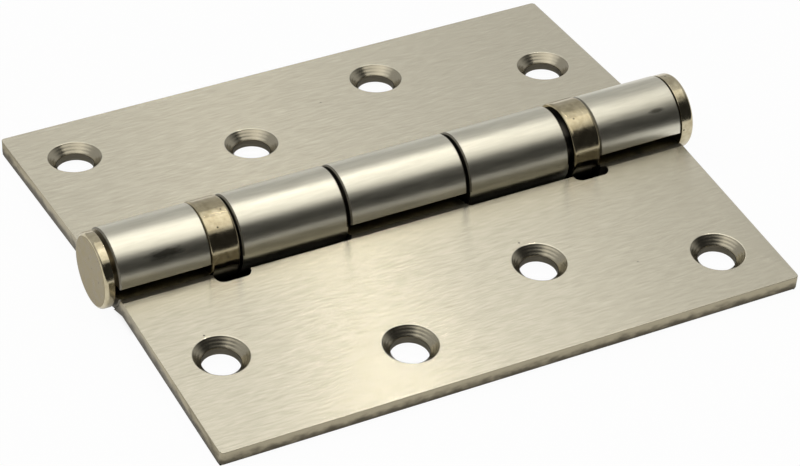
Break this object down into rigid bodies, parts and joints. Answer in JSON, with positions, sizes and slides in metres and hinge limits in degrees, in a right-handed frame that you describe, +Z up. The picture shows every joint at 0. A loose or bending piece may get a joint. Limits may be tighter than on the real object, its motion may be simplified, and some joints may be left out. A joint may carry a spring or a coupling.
{
  "type": "ball bearing butt hinge",
  "caption": "Steel butt hinge with rolled knuckles, countersunk leaves and thrust ball bearings in nickel casings on a button-headed pin.",
  "frame": {"origin": "middle of the underside of the opened hinge as it lies, midway between the outer faces of the two buttons", "axes": "+X along the pin from the headed end to the plug, +Y towards the leaf with two knuckles, +Z up, away from the surface it lies on"},
  "size_m": [0.1064, 0.0864, 0.0132],
  "materials": {
    "satin_steel": "satin, brushed along the pin, with polished knuckles",
    "button_nickel": "brown-tinted bright nickel",
    "casing_nickel": "brown-tinted bright nickel",
    "bearing_steel": "ground and polished hardened steel",
    "cage_steel": "stamped thin steel"
  },
  "bodies": {
    "three_knuckle_side": {"three_knuckle_leaf": "satin_steel", "hinge_pin": "button_nickel", "pin_plug": "button_nickel", "left_bearing_casing": "casing_nickel", "left_casing_race": "bearing_steel", "right_bearing_casing": "casing_nickel", "right_casing_race": "bearing_steel"},
    "two_knuckle_side": {"two_knuckle_leaf": "satin_steel", "left_facing_race": "bearing_steel", "right_facing_race": "bearing_steel"},
    "left_ball_set": {"left_ball_cage": "cage_steel", "left_ball_1": "bearing_steel", "left_ball_2": "bearing_steel", "left_ball_3": "bearing_steel", "left_ball_4": "bearing_steel", "left_ball_5": "bearing_steel", "left_ball_6": "bearing_steel", "left_ball_7": "bearing_steel", "left_ball_8": "bearing_steel"},
    "right_ball_set": {"right_ball_cage": "cage_steel", "right_ball_1": "bearing_steel", "right_ball_2": "bearing_steel", "right_ball_3": "bearing_steel", "right_ball_4": "bearing_steel", "right_ball_5": "bearing_steel", "right_ball_6": "bearing_steel", "right_ball_7": "bearing_steel", "right_ball_8": "bearing_steel"}
  },
  "joints": [
    {"name": "leaf_swing", "type": "hinge", "parent": "three_knuckle_side", "child": "two_knuckle_side", "pos_m": [0, 0, 0.0066], "axis": [1, 0, 0], "range_deg": [-83.6, 186.4]},
    {"name": "left_balls_roll", "type": "hinge", "parent": "three_knuckle_side", "child": "left_ball_set", "pos_m": [0, 0, 0.0066], "axis": [1, 0, 0], "range_deg": [-41.9, 93.3]},
    {"name": "right_balls_roll", "type": "hinge", "parent": "three_knuckle_side", "child": "right_ball_set", "pos_m": [0, 0, 0.0066], "axis": [1, 0, 0], "range_deg": [-41.9, 93.3]}
  ],
  "couplings": [
    {"joint": "left_balls_roll", "follows": "leaf_swing", "ratio": 0.5},
    {"joint": "right_balls_roll", "follows": "leaf_swing", "ratio": 0.5}
  ]
}
